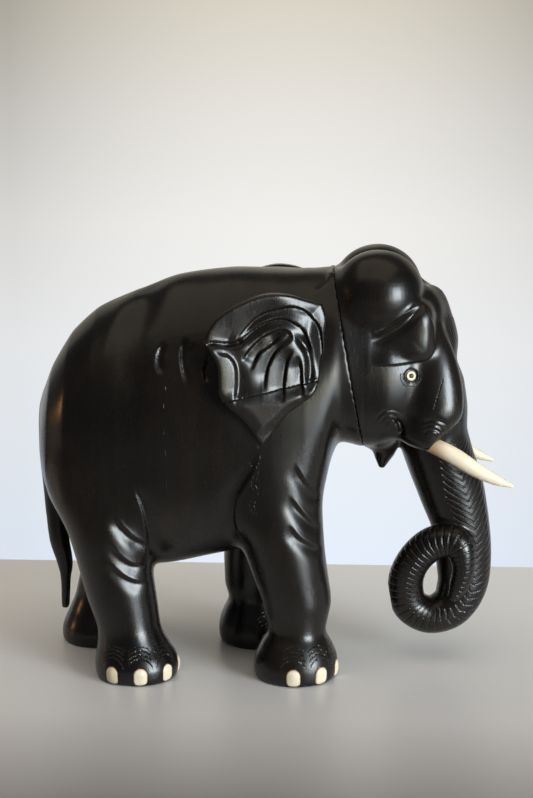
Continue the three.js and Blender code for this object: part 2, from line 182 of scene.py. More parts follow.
def limb_frame(rows, t, facing=None):
    """Centre, side and rise of a limb's sections, and their two half sizes."""
    rows = np.asarray(rows, float)
    centre = spline(rows[:, :3], t)
    size = spline(np.c_[rows[:, 3:], np.zeros(len(rows))], t)
    along = np.tile(np.array(facing, float), (len(t), 1)) if facing else tangent(rows[:, :3], t)
    across = np.array([0, 1.0, 0])
    side = across - along * (along @ across)[:, None]
    side /= np.linalg.norm(side, axis=1)[:, None]
    return centre, side, np.cross(along, side), size


def limb(rows, sides=72, rings_per_row=7, facing=None, squareness=2.0, egg=0.0):
    """A closed skin through oval sections, as points and triangles."""
    ring_count = (len(rows) - 1) * rings_per_row + 1
    t = np.linspace(0, 1, ring_count)
    centre, side, rise, size = limb_frame(rows, t, facing)
    turn = np.linspace(0, 2 * math.pi, sides, endpoint=False)
    cosine, sine = np.cos(turn), np.sin(turn)
    power = 2 / squareness
    width = np.sign(cosine) * np.abs(cosine) ** power * (1 - egg * sine)
    depth = np.sign(sine) * np.abs(sine) ** power
    skin = (
        centre[:, None]
        + side[:, None] * (size[:, 0, None] * width)[..., None]
        + rise[:, None] * (size[:, 1, None] * depth)[..., None]
    )
    points = np.vstack([skin.reshape(-1, 3), centre[:1], centre[-1:]])
    ring = np.arange(sides)
    following = (ring + 1) % sides
    triangles = []
    for r in range(ring_count - 1):
        a, b = r * sides + ring, r * sides + following
        triangles += [np.c_[a, b, b + sides], np.c_[a, b + sides, a + sides]]
    first, last, top = len(points) - 2, len(points) - 1, (ring_count - 1) * sides
    triangles.append(np.c_[np.full(sides, first), following, ring])
    triangles.append(np.c_[np.full(sides, last), top + ring, top + following])
    return points, np.vstack(triangles)


def ball(shape, side, squareness=2.0):
    """An ellipsoid as a closed skin, nearer to a box where its squareness is over 2."""
    polar = np.linspace(0, math.pi, 32)
    height = -np.sign(np.cos(polar)) * np.abs(np.cos(polar)) ** (2 / squareness)
    girth = np.abs(np.sin(polar)) ** (2 / squareness)
    rows = np.c_[0 * polar, 0 * polar, height, girth, girth]
    points, triangles = limb(rows, 64, rings_per_row=1, facing=(0, 0, 1), squareness=squareness)
    return points * shape["half"] + np.array(on(side, [shape["at"]])[0]), triangles


def sole_share(z, step):
    """How much of a left leg's step at the sole is left at these heights."""
    return np.cos(math.pi / 2 * np.clip(z / step["fade"], 0, 1)) ** 2


def leg_back(z, step):
    """How far a left leg steps back at these heights."""
    knee = np.sin(math.pi * np.clip(z / KNEE_SPAN, 0, 1)) ** 2
    return step["sole"] * sole_share(z, step) + step["knee"] * knee


def leg_rows(rows, side, step):
    made = []
    for x, y, z, width, depth in rows:
        if side == LEFT:
            x, y = x - leg_back(z, step), y - step["inwards"] * sole_share(z, step)
        made.append((x, side * y, z, width, depth))
    return made


def on(side, rows):
    """Rows that are written for the left side, put on either side."""
    return [(x, side * y, *rest) for x, y, *rest in rows]


# ------ fields


class Block:
    """A block of wood as a signed distance field on a grid, to add limbs to and cut away from."""

    band = 12.0

    def __init__(self, low, high, voxel):
        self.voxel = voxel
        self.low = np.floor(np.array(low) / voxel).astype(int)
        self.shape = tuple(np.ceil(np.array(high) / voxel).astype(int) - self.low)
        self.field = None

    def axes(self):
        """Millimetres along x, y and z, shaped to spread over the grid."""
        x, y, z = (
            (self.low[k] + np.arange(self.shape[k], dtype=np.float32)) * self.voxel for k in range(3)
        )
        return x[:, None, None], y[None, :, None], z[None, None, :]

    def distance(self, skin):
        points, triangles = skin
        level = openvdb.FloatGrid.createLevelSetFromPolygons(
            points.astype(np.float32),
            triangles=triangles.astype(np.uint32),
            transform=openvdb.createLinearTransform(voxelSize=self.voxel),
            halfWidth=self.band / self.voxel,
        )
        values = np.empty(self.shape, np.float32)
        level.copyToArray(values, ijk=tuple(int(k) for k in self.low))
        return values

    def add(self, skin, blend):
        """Joins a skin on, with a fillet about as wide as blend."""
        values = self.distance(skin)
        if self.field is None:
            self.field = values
            return
        near = np.maximum(blend - np.abs(self.field - values), 0) / blend
        self.field = np.minimum(self.field, values) - near * near * (blend / 4)

    def cut(self, field):
        """Keeps only what is also inside this field."""
        self.field = np.maximum(self.field, field.astype(np.float32))

    def surface(self):
        grid = openvdb.FloatGrid(self.band)
        inside = np.clip(self.field, -self.band, self.band).astype(np.float32)
        grid.copyFromArray(inside, ijk=tuple(int(k) for k in self.low), tolerance=0.0)
        grid.transform = openvdb.createLinearTransform(voxelSize=self.voxel)
        points, quads = grid.convertToQuads(0.0)
        return Surface(points.astype(float), quads.astype(np.int64))


class Surface:
    """A quad skin that is smoothed and carved, point by point."""

    def __init__(self, points, quads):
        self.points, self.quads, self.marks = points, quads, {}
        if np.einsum("ij,ij->", points[quads].mean(1), self.spreads()) < 0:
            self.quads = quads[:, ::-1]

    def spreads(self):
        """Each quad's normal, twice as long as the quad is large."""
        corners = self.points[self.quads]
        return np.cross(corners[:, 2] - corners[:, 0], corners[:, 3] - corners[:, 1])

    def relax(self, rounds, held=None):
        """Draws each point half way to the middle of its neighbours, apart from the held ones."""
        free = 0.5 if held is None else 0.5 * ~held[:, None]
        a = self.quads.ravel()
        b = np.roll(self.quads, -1, axis=1).ravel()
        count = len(self.points)
        shares = np.bincount(a, minlength=count) + np.bincount(b, minlength=count)
        for _ in range(rounds):
            mean = np.empty_like(self.points)
            for k in range(3):
                value = self.points[:, k]
                total = np.bincount(a, value[b], count) + np.bincount(b, value[a], count)
                mean[:, k] = total / shares
            self.points += free * (mean - self.points)

    def normals(self):
        spread = self.spreads()
        total = np.empty_like(self.points)
        for k in range(3):
            total[:, k] = sum(
                np.bincount(self.quads[:, c], spread[:, k], len(self.points)) for c in range(4)
            )
        return total / np.maximum(np.linalg.norm(total, axis=1), 1e-9)[:, None]

    def rise(self, height):
        """Moves each point out along its normal."""
        self.points += self.normals() * height[:, None]

    def piece(self, name, material):
        return smooth_piece(name, self.points, self.quads, material, self.marks)


def linked(name, data):
    """A new object in the scene."""
    thing = bpy.data.objects.new(name, data)
    bpy.context.scene.collection.objects.link(thing)
    return thing


def smooth_piece(name, points, faces, material, marks):
    """A smooth mesh from points in the carver's frame, with a vertex attribute for each mark."""
    mesh = bpy.data.meshes.new(name)
    mesh.vertices.add(len(points))
    mesh.vertices.foreach_set("co", ((points + OFFSET) * MM).astype(np.float32).ravel())
    mesh.loops.add(faces.size)
    mesh.loops.foreach_set("vertex_index", faces.astype(np.int32).ravel())
    mesh.polygons.add(len(faces))
    starts = np.arange(0, faces.size, faces.shape[1], dtype=np.int32)
    mesh.polygons.foreach_set("loop_start", starts)
    mesh.update(calc_edges=True)
    mesh.polygons.foreach_set("use_smooth", np.ones(len(faces), bool))
    for mark, values in marks.items():
        layer = mesh.attributes.new(mark, "FLOAT", "POINT")
        layer.data.foreach_set("value", values.astype(np.float32))
    mesh.validate()
    mesh.materials.append(material)
    return linked(name, mesh)


# ------ knife strokes


def smooth(value, low, high):
    t = np.clip((value - low) / (high - low), 0, 1)
    return t * t * (3 - 2 * t)


def round_max(a, b, radius):
    """The larger of two fields, with a rounded edge where they meet."""
    near = np.maximum(radius - np.abs(a - b), 0) / radius
    return np.maximum(a, b) + near * near * (radius / 4)


class Stroke:
    """How far points lie from a curve drawn in a plane, on which side, and how far along it."""

    def __init__(self, points, curve, reach, bends=8):
        line = spline(curve, np.linspace(0, 1, (len(curve) - 1) * bends + 1))
        self.distance = np.full(len(points), 1e3)
        self.side = np.ones(len(points))
        self.along = np.zeros(len(points))
        low, high = line.min(0) - reach, line.max(0) + reach
        near = np.flatnonzero(((points > low) & (points < high)).all(1))
        lengths = np.linalg.norm(np.diff(line, axis=0), axis=1)
        start = np.r_[0, np.cumsum(lengths)[:-1]]
        spot = points[near]
        for a, b, size, begun in zip(line[:-1], line[1:], lengths, start):
            run = (b - a) / size
            offset = spot - a
            t = np.clip(offset @ run, 0, size)
            apart = np.linalg.norm(offset - t[:, None] * run, axis=1)
            better = apart < self.distance[near]
            rows = near[better]
            self.distance[rows] = apart[better]
            cross = run[0] * offset[better, 1] - run[1] * offset[better, 0]
            self.side[rows] = np.where(cross < 0, -1, 1)
            self.along[rows] = (begun + t[better]) / lengths.sum()

    def taper(self, ends=0.25):
        """1 along the middle of the curve, down to 0 at its two ends."""
        return smooth(self.along, 0, ends) * smooth(1 - self.along, 0, ends)

    def signed(self):
        return self.distance * self.side


def groove(stroke, depth, width, ends=0.25):
    """A round-bottomed cut."""
    return -depth * np.exp(-((stroke.distance / width) ** 2)) * stroke.taper(ends)


def fold(stroke, depth, sharp, soft, lip, ends=0.3, soft_side=1):
    """A cut that is steep on one side, where it has a lip, and runs out gently on the other."""
    d = stroke.distance
    gentle = stroke.side == soft_side
    cut = np.where(gentle, np.exp(-((d / soft) ** 2)), np.exp(-((d / sharp) ** 2)))
    raised = np.where(gentle, 0, np.exp(-(((d - 1.6 * sharp) / sharp) ** 2)))
    return (lip * raised - depth * cut) * stroke.taper(ends)


def terrace(stroke, depth, soft, edge, ends, soft_side):
    """A cliff along the curve: full height on one side, and a fall that climbs back on the other."""
    d = stroke.signed() * soft_side
    fall = smooth(d, -edge, edge) * np.exp(-((np.maximum(d, 0) / soft) ** 1.5))
    return -depth * fall * stroke.taper(ends)


def waves(points, seed, scale):
    """Smooth low bumps from about -1 to 1, as a knife leaves them."""
    random = np.random.default_rng(seed)
    total = np.zeros(len(points))
    count, gain = 10, 2.2
    for _ in range(count):
        direction = random.normal(size=3)
        direction *= 2 * math.pi / scale / np.linalg.norm(direction) * random.uniform(0.6, 1.5)
        total += np.sin(points @ direction + random.uniform(0, 2 * math.pi))
    return total / count * gain


def rings(distance, start, pitch):
    """Distance from the nearest of a row of rings."""
    return np.abs((distance - start) % pitch - pitch / 2)


UNMARKED = 9.0  # a distance from scratches that leaves no mark

# ------ materials


class Shading:
    """The nodes of a material or a world, with a short call for each kind that repeats."""

    def __init__(self, owner):
        owner.use_nodes = True
        self.nodes, self.links = owner.node_tree.nodes, owner.node_tree.links

    def feed(self, socket, value):
        """Links another node's output to a socket, or sets a plain value."""
        if isinstance(value, bpy.types.NodeSocket):
            self.links.new(value, socket)
        else:
            socket.default_value = (*value, 1) if socket.type == "RGBA" else value

    def node(self, kind, inputs=None, **settings):
        """A new node, with its kind written without ShaderNode."""
        node = self.nodes.new(f"ShaderNode{kind}")
        for key, value in settings.items():
            setattr(node, key, value)
        for key, value in (inputs or {}).items():
            self.feed(node.inputs[key], value)
        return node

    def place(self):
        """Object space, which is the CAD frame in metres."""
        return self.node("TexCoord").outputs["Object"]

    def attribute(self, name):
        return self.node("Attribute", attribute_name=name).outputs["Fac"]

    def noise(self, scale, stretch, detail=6.0):
        """Noise that is drawn out along the grain, where its stretch is under 1."""
        mapping = self.node("Mapping", {"Vector": self.place(), "Scale": stretch})
        inputs = {"Vector": mapping.outputs[0], "Scale": scale, "Detail": detail, "Roughness": 0.6}
        return self.node("TexNoise", inputs).outputs["Fac"]

    def mapped(self, value, from_low, from_high, to_low, to_high, smoothly=False):
        inputs = {"From Min": from_low, "From Max": from_high, "To Min": to_low, "To Max": to_high}
        kind = "SMOOTHSTEP" if smoothly else "LINEAR"
        node = self.node("MapRange", {"Value": value, **inputs}, interpolation_type=kind)
        return node.outputs["Result"]

    def maths(self, operation, a, b=0.0):
        return self.node("Math", {0: a, 1: b}, operation=operation).outputs[0]

    def mixed(self, factor, a, b):
        """One colour mixed into another."""
        factor_in, a_in, b_in = 0, 6, 7
        inputs = {factor_in: factor, a_in: a, b_in: b}
        return self.node("Mix", inputs, data_type="RGBA").outputs[2]

    def ramp(self, value, stops):
        node = self.node("ValToRGB", {"Fac": value})
        elements = node.color_ramp.elements
        for element, (place, colour) in zip(elements, (stops[0], stops[-1])):
            element.position, element.color = place, (*colour, 1)
        for place, colour in stops[1:-1]:
            elements.new(place).color = (*colour, 1)
        return node.outputs["Color"]

    def bump(self, height, strength, distance, **under):
        inputs = {"Height": height, "Strength": strength, "Distance": distance}
        return self.node("Bump", {**inputs, **under}).outputs["Normal"]

    def surface(self, inputs):
        """Feeds the Principled shader."""
        for key, value in inputs.items():
            self.feed(self.nodes["Principled BSDF"].inputs[key], value)


def new_material(name):
    material = bpy.data.materials.new(name)
    return material, Shading(material)


def knife_strokes(shade):
    """Height of a row of V cuts, one for each whole number of the strokes attribute."""
    part = shade.maths("FRACT", shade.attribute("strokes"))
    off = shade.maths("ABSOLUTE", shade.maths("SUBTRACT", part, 0.5))
    depth = shade.mapped(off, 0.04, 0.24, -1.3, 0.0, True)
    return shade.maths("MULTIPLY", depth, shade.attribute("cut"))


BLACK = (0.0018, 0.0016, 0.0015)
BROWN = (0.007, 0.0046, 0.003)
PALE_EDGE = (0.020, 0.016, 0.013)
# Painted shade, for the wood's hollows.
SHADOWED = (0.0015, 0.0013, 0.0012)


def ebony(name, grain=(1.0, 1.0, 0.16)):
    """Waxed ebony: near black, with brown streaks along the grain, open pores, paler sharp edges and
    painted shade in its hollows.
    """
    material, shade = new_material(name)
    streaks = shade.noise(70.0, grain, detail=5.0)
    cloud = shade.noise(14.0, (1, 1, 0.6), detail=3.0)
    pores = shade.noise(900.0, (1, 1, 0.12), detail=2.0)
    figure = shade.maths("MULTIPLY", streaks, cloud)
    wood = shade.ramp(figure, [(0.12, BLACK), (0.34, BROWN)])
    pointiness = shade.node("NewGeometry").outputs["Pointiness"]
    # Sharp convex edges are mixed towards a paler brown.
    edge = shade.mapped(pointiness, 0.53, 0.62, 0.0, 0.55, True)
    # Painted shade: concave places are painted darker, as if shadowed.
    hollow = shade.mapped(pointiness, 0.40, 0.48, 0.65, 0.0, True)
    toned = shade.mixed(hollow, shade.mixed(edge, wood, PALE_EDGE), SHADOWED)

    wax = shade.noise(42.0, (1, 1, 0.5), detail=4.0)
    base = shade.mapped(wax, 0.3, 0.7, 0.23, 0.32)
    matt = shade.mapped(pores, 0.58, 0.75, 0.0, 0.12)

    scratch = shade.mapped(shade.attribute("scratch"), 0.0, 0.7, -1.0, 0.0, True)
    carved = shade.maths("ADD", scratch, knife_strokes(shade))
    fine = shade.bump(shade.maths("ADD", streaks, pores), 0.16, 0.0002)
    shade.surface({
        "Base Color": toned,
        "Roughness": shade.maths("ADD", base, matt),
        "Normal": shade.bump(carved, 1.0, 0.00045, Normal=fine),
        "IOR": 1.46,
        "Coat Weight": 0.06,
        "Coat Roughness": 0.18,
    })
    return material


# Painted shade, for bone where it meets the ebony.
SHADED_BONE = (0.33, 0.17, 0.065)


def bone(name, pale=(0.80, 0.71, 0.54), tan=(0.55, 0.39, 0.22), pits=0.35):
    """Polished bone: cream, tan in its pores and along its grain."""
    material, shade = new_material(name)
    cloud = shade.noise(90.0, (0.35, 1, 1), detail=4.0)
    specks = shade.noise(900.0, (0.6, 1, 1), detail=3.0)
    deep = tuple(0.6 * p + 0.4 * t for p, t in zip(pale, tan))
    base = shade.ramp(cloud, [(0.35, pale), (0.75, deep)])
    spots = shade.mapped(specks, 0.60, 0.72, 0.0, pits, True)
    spotted = shade.mixed(spots, base, tan)
    shade.surface({
        # Painted shade: the bone is darkened towards this brown where it meets the ebony.
        "Base Color": shade.mixed(shade.attribute("joint_shade"), spotted, SHADED_BONE),
        "Roughness": shade.mapped(cloud, 0.3, 0.7, 0.34, 0.5),
        "Normal": shade.bump(specks, 0.25, 0.0002),
        "Subsurface Weight": 0.12,
        "Subsurface Radius": (0.004, 0.0025, 0.0015),
        "Subsurface Scale": 0.4,
    })
    return material


def dowel_wood(name):
    material, shade = new_material(name)
    grain = shade.noise(260.0, (0.08, 1, 1))
    shade.surface({
        "Base Color": shade.ramp(grain, [(0.3, (0.30, 0.19, 0.10)), (0.7, (0.46, 0.32, 0.18))]),
        "Roughness": shade.mapped(grain, 0.2, 0.8, 0.6, 0.8),
        "Normal": shade.bump(grain, 0.3, 0.0002),
    })
    return material


BODY_EBONY = ebony("body_ebony")
HEAD_EBONY = ebony("head_ebony")
EAR_EBONY = ebony("ear_ebony", grain=(1.0, 1.0, 0.3))
PUPIL_EBONY = ebony("pupil_ebony")
TUSK_BONE = bone("tusk_bone", pits=0.1)
NAIL_BONE = bone("nail_bone", pale=(0.74, 0.67, 0.52), pits=0.6)
EYE_BONE = bone("eye_bone", pale=(0.70, 0.62, 0.42))
DOWEL_WOOD = dowel_wood("dowel_wood")


def hand_in(piece, slot, *nodes):
    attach(piece, "root")
    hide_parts(*nodes)


# ------ body


def ahead_of_joint(place):
    """Distance ahead of the neck joint, of a block's axes or of points' coordinates."""
    x, _, z = place
    return (x - joint_x(z)) / math.hypot(1, NECK_JOINT["lean"])


TORSO_SKIN = limb(TORSO, 96, facing=(1, 0, 0), squareness=2.25, egg=0.06)
SKULL_SKIN = limb(SKULL, 96, facing=(1, 0, 0), squareness=2.2)


def side_view(points, side, step=None):
    """Points seen from one side, as x and z, with a left leg's step taken out."""
    x = points[:, 0]
    if side == LEFT and step:
        x = x + leg_back(points[:, 2], step)
    return np.c_[x, points[:, 2]]


def on_side(points, side, start=4, full=16):
    return smooth(side * points[:, 1], start, full)


# Folds of the legs and cuts in the flank: a curve in side view, a depth, and for the cuts how wide
# their sharp and their soft side are.
LEG_FOLDS = [
    ("front", [(14, 158), (19, 148), (27, 136), (35, 126)], 1.7),
    ("front", [(10, 136), (20, 122), (29, 112), (36, 105)], 1.9),
    ("front", [(10, 116), (17, 106), (27, 98), (36, 92)], 1.9),
    ("rear", [(-110, 121), (-102, 110), (-93, 101), (-84, 96)], 2.0),
    ("rear", [(-113, 103), (-105, 91), (-96, 84), (-86, 82)], 2.0),
    ("rear", [(-114, 87), (-103, 77), (-95, 72), (-86, 69)], 1.8),
]
THIGH_EDGE = [(-95, 146), (-89, 130), (-86, 116), (-85, 102), (-86, 84)]
ELBOW_EDGE = [(-9, 170), (-15, 152), (-25, 134), (-27, 114), (-21, 97)]
FLANK_CUTS = [
    ([(-73, 240), (-77, 231), (-77, 224), (-75, 217)], 2.0, 1.4, 3.5),
    ([(-59, 243), (-61, 233), (-60, 224), (-57, 211)], 1.8, 1.2, 3.0),
    ([(-53, 240), (-56, 231), (-56, 222)], 0.9, 1.0, 2.0),
    ([(-41, 233), (-44, 226), (-45, 220), (-43, 212)], 1.8, 1.3, 3.0),
]
HIP_VALLEY = [(-72, 279), (-84, 265), (-94, 248), (-97, 230), (-97, 209), (-94, 186)]
HIP_CREST = [(-92, 277), (-105, 252), (-109, 230), (-108, 210), (-104, 190)]
FLANK_CRACK = [(-72, 242), (-71, 216), (-73, 190), (-71, 158), (-72, 123), (-70, 98)]
BACK_CRACK = [(-64, 260), (-57, 268), (-50, 274), (-47, 270), (-44, 263)]
WAVY_LINES = [
    [(-15, 159), (-12, 152), (-14, 145), (-12, 138), (-15, 129), (-12, 122)],
    [(-12, 160), (-9, 152), (-11, 145), (-9, 138), (-12, 129), (-10, 122)],
    [(-9, 171), (-8, 162), (-11, 154), (-8, 146), (-10, 138)],
]
SOLE_LIFT = 0.02
COLLAR = [(22, 264), (29, 270), (34, 273), (37, 277), (39, 283), (42, 290), (44, 296)]


def carve_body(wood):
    points, normals = wood.points, wood.normals()
    height = 0.2 * waves(points, seed=3, scale=30)
    scratches = [np.full(len(points), UNMARKED)]
    for side in SIDES.values():
        facing = on_side(points, side) * smooth(side * normals[:, 1], -0.1, 0.25)
        hidden = UNMARKED * (1 - facing)
        views = {name: side_view(points, side, step) for name, step in STEP.items()}
        plain = side_view(points, side)
        for leg, curve, depth in LEG_FOLDS:
            stroke = Stroke(views[leg], curve, 16)
            height += facing * fold(stroke, depth, sharp=1.3, soft=5.5, lip=0.35, soft_side=-1)
        thigh = Stroke(views["rear"], THIGH_EDGE, 20)
        height += facing * fold(thigh, 1.8, sharp=1.4, soft=7.0, lip=0.5)
        elbow = Stroke(views["front"], ELBOW_EDGE, 20)
        height += facing * fold(elbow, 2.4, sharp=1.4, soft=8.0, lip=0.6, soft_side=-1)
        height += facing * groove(Stroke(plain, HIP_VALLEY, 40), 2.4, width=10, ends=0.35)
        height -= facing * groove(Stroke(plain, HIP_CREST, 40), 1.6, width=9, ends=0.35)
        for curve, depth, sharp, soft in FLANK_CUTS:
            height += facing * fold(Stroke(plain, curve, 14), depth, sharp, soft, lip=0.25)
        collar = Stroke(plain, COLLAR, 14)
        height -= on_side(points, side, 8, 20) * groove(collar, 1.5, width=3.2, ends=0.3)
        cracks = [FLANK_CRACK, BACK_CRACK] if side == RIGHT else []
        scratches += [Stroke(plain, curve, 6).distance + 0.45 + hidden for curve in cracks]
        front = views["front"]
        scratches += [Stroke(front, curve, 6).distance + 0.35 + hidden for curve in WAVY_LINES]
        scratches += [foot_wrinkles(points, name, side) for name in STEP]
    wood.rise(height)
    wood.points[:, 2] = np.maximum(wood.points[:, 2], SOLE_LIFT)
    wood.marks = {"scratch": np.min(scratches, axis=0)}


FOOT_ROWS = {"front": FRONT_LEG, "rear": REAR_LEG}
NAIL = {"width": 10, "height": 12.6, "bottom": 0.8, "depth": 4}
# Degrees between the nails, degrees from the elephant's side to the middle one, and how many.
NAIL_TURNS = {"front": (41, 81, 5), "rear": (42, 33, 4)}
ARCS = {"centre": 9, "inner": 8.5, "outer": 19, "start": 1.2, "pitch": 2.6, "half_width": 9.5}


def foot_centre(name, side):
    row = leg_rows(FOOT_ROWS[name], side, STEP[name])[2]
    return np.array(row[:2]), row[4]


def nail_turns(name):
    step, middle, count = NAIL_TURNS[name]
    return [math.radians(middle + step * (i - (count - 1) / 2)) for i in range(count)]


def nail_arch(across, height):
    """Distance out of a toenail's arched outline."""
    half = NAIL["width"] / 2
    spring = NAIL["bottom"] + NAIL["height"] - half
    foot = round_max(np.abs(across) - half, NAIL["bottom"] - height, 4.0)
    return np.where(height > spring, np.hypot(across, height - spring) - half, foot)


def foot_wrinkles(points, name, side):
    """Distance from the arcs that are cut over each toenail."""
    centre, radius = foot_centre(name, side)
    offset = points[:, :2] - centre
    turn = np.arctan2(offset[:, 0], side * offset[:, 1])
    near = (np.hypot(*offset.T) < radius + 8) & (points[:, 2] < 42) & (points[:, 2] > 8)
    distance = np.full(len(points), UNMARKED)
    height = points[near, 2]
    for nail in nail_turns(name):
        around = (turn[near] - nail + math.pi) % (2 * math.pi) - math.pi
        across = around * radius
        outline = np.abs(nail_arch(across, height))
        distance[near] = np.minimum(distance[near], outline)
        out = np.hypot(across, height - ARCS["centre"])
        arcs = rings(out, ARCS["start"], ARCS["pitch"])
        shown = (out > ARCS["inner"]) & (out < ARCS["outer"])
        shown &= np.abs(across) < ARCS["half_width"]
        distance[near] = np.minimum(distance[near], np.where(shown, arcs, UNMARKED))
    return distance


def body():
    block = Block(*BODY_BOX, BODY_VOXEL)
    block.add(TORSO_SKIN, blend=0)
    block.add(SKULL_SKIN, blend=2)
    for side in SIDES.values():
        block.add(ball(DOME, side), blend=8)
        for name, rows in FOOT_ROWS.items():
            leg = limb(leg_rows(rows, side, STEP[name]), facing=(0, 0, 1))
            block.add(leg, blend=10)
    block.add(limb(TAIL, sides=40), blend=5)
    block.cut(ahead_of_joint(block.axes()) + GLUE_GAP / 2)
    wood = block.surface()
    wood.relax(3, held=ahead_of_joint(wood.points.T) > -1.5 * BODY_VOXEL)
    carve_body(wood)
    hand_in(wood.piece("body_carving", BODY_EBONY), "ebony", "body_block")


# ------ head

DOME_CREASES = [
    [(102, 266), (94, 260), (87, 256), (81, 252), (73, 248), (67, 246)],
    [(102, 265), (95, 258), (89, 252), (81, 246), (73, 242), (65, 239)],
]
BROW_EDGE = [
    (101, 266), (105, 257), (108, 249), (109, 240), (108, 232), (104, 227),
    (96, 225.5), (84, 224), (66, 224),
]
BROW_TOP = 262
SLEEVE_FOLDS = [
    [(99, 182), (104, 184), (110, 185), (116, 183), (121, 179)],
    [(100, 178.5), (105, 181), (110, 182), (116, 179), (120, 175)],
    [(102, 175.5), (106, 178), (111, 178), (115, 175.5)],
]
MOUTH_ARCS = [
    [(69, 182), (72, 188), (77, 192), (83, 192), (89, 188)],
    [(72, 180), (75, 186), (80, 189), (86, 186)],
    [(75, 178), (78, 183), (82, 185), (86, 182)],
]
MOUTH_CORNER = [(84, 186), (87, 180), (87, 171)]
CHEEK_CRACK = [(115, 213), (112, 203), (109, 193)]
EYE = {"at": (93.3, 43, 215.8), "out": (0.32, 1, 0.12), "ring": 3.3, "socket_folds": 8.5}


def eye_point(side):
    """Where an eye's axis meets the face, and its direction out."""
    (at,), (out,) = on(side, [EYE["at"]]), on(side, [EYE["out"]])
    return np.array(at), np.array(out) / np.linalg.norm(out)


def trunk_place(points):
    """Each point's place by its nearest section of the trunk: distance down it, out and across.

    Then come the section's half sizes and the square of the point's distance from its centre, in them.
    """
    count = 400
    t = np.linspace(0, 1, count)
    centre, side, rise, size = limb_frame(TRUNK, t)
    run = np.r_[0, np.cumsum(np.linalg.norm(np.diff(centre, axis=0), axis=1))]
    best = np.full(len(points), 1e9)
    chosen = np.zeros(len(points), int)
    for i in range(count):
        reach = np.einsum("ij,ij->i", points - centre[i], points - centre[i]) / (size[i].max() ** 2)
        closer = reach < best
        best[closer] = reach[closer]
        chosen[closer] = i
    offset = points - centre[chosen]
    along = np.cross(side[chosen], rise[chosen])
    step = np.einsum("ij,ij->i", offset, along)
    out = np.einsum("ij,ij->i", offset, rise[chosen])
    across = np.einsum("ij,ij->i", offset, side[chosen])
    return run[chosen] + step, out, across, size[chosen], best


def carve_head(wood):
    points, normals = wood.points, wood.normals()
    height = 0.1 * waves(points, seed=11, scale=26)
    scratches = [np.full(len(points), UNMARKED)]
    for side in SIDES.values():
        facing = on_side(points, side, 3, 12) * smooth(side * normals[:, 1], -0.15, 0.2)
        plain = side_view(points, side)
        brow = Stroke(plain, BROW_EDGE, 30)
        rim = smooth(-brow.signed(), -0.8, 0.8) * np.exp(-np.maximum(brow.distance - 6, 0) / 12)
        height += facing * 1.5 * rim * brow.taper(0.18) * (points[:, 2] < BROW_TOP)
        for curve, depth in zip(DOME_CREASES, (1.8, 1.5)):
            height += facing * fold(Stroke(plain, curve, 12), depth, sharp=0.9, soft=2.6, lip=0.3)
        for curve in SLEEVE_FOLDS:
            height += facing * fold(Stroke(plain, curve, 10), 1.2, sharp=0.9, soft=2.2, lip=0.3)
        for curve in MOUTH_ARCS:
            height += facing * groove(Stroke(plain, curve, 8), 0.6, width=1.0)
        height += facing * groove(Stroke(plain, MOUTH_CORNER, 10), 3.0, width=1.8)
        scratches.append(Stroke(plain, CHEEK_CRACK, 5).distance + UNMARKED * (1 - facing))
        eye, _ = eye_point(side)
        apart = np.linalg.norm(points - eye, axis=1)
        folds = rings(apart, EYE["ring"] + 0.3, 1.7) + 0.25
        shown = (apart > EYE["ring"]) & (apart < EYE["socket_folds"]) & (points[:, 2] < eye[2] + 2.5)
        scratches.append(np.where(shown, folds, UNMARKED))
        height -= 0.8 * np.exp(-(((apart - EYE["ring"] - 0.8) / 0.8) ** 2)) * (apart > 1)
    strokes, cut = trunk_hatch(points)
    wood.rise(height)
    wood.marks = {"scratch": np.min(scratches, axis=0), "strokes": strokes, "cut": cut}


# How the trunk's strokes change on the way down: distance down the trunk, turn of the ridge that they
# meet in, their pitch and their slant, and how far they run behind the ridge.
HATCH = [
    (0, 0.75, 3.0, 1.3, 0), (100, 0.72, 3.2, 1.2, 0), (118, 0.5, 4.4, 0.9, 9), (147, 0.4, 5.2, 0.8, 11),
    (175, 0.48, 5.2, 0.8, 9), (192, 0.45, 5.0, 0.7, 2), (217, 0.35, 4.8, 0.5, 2),
    (238, 0.2, 4.6, 0.3, 5), (255, 0.0, 4.4, 0.2, 10), (300, 0.0, 4.2, 0.2, 11),
    (325, 0.1, 4.0, -0.1, 8), (390, 0.1, 3.6, 0, 8),
]


def trunk_hatch(points):
    """How many strokes down the trunk each point is, and how deep the strokes are cut there."""
    down, out, across, size, reach = trunk_place(points)
    stops, *columns = np.array(HATCH).T
    ridge, pitch, slant, behind = (np.interp(down, stops, column) for column in columns)
    fine = np.linspace(0, stops[-1], 800)
    counted = np.r_[0, np.cumsum(np.diff(fine) / np.interp(fine[1:], stops, columns[1]))]
    turn = np.arctan2(out / size[:, 1], np.abs(across) / size[:, 0])
    apart = (turn - ridge) * size.mean(1)
    strokes = np.interp(down, fine, counted) + slant * np.maximum(apart, -1.9 * apart) / pitch
    front = smooth(apart, -0.3, 0.6) * smooth(1.5 - turn, 0, 0.12)
    back = smooth(-apart, -0.3, 0.6) * smooth(apart + behind, 0, 2.5)
    return strokes, np.maximum(front, back) * smooth(down, 5, 9) * smooth(1.9 - reach, 0, 0.4)


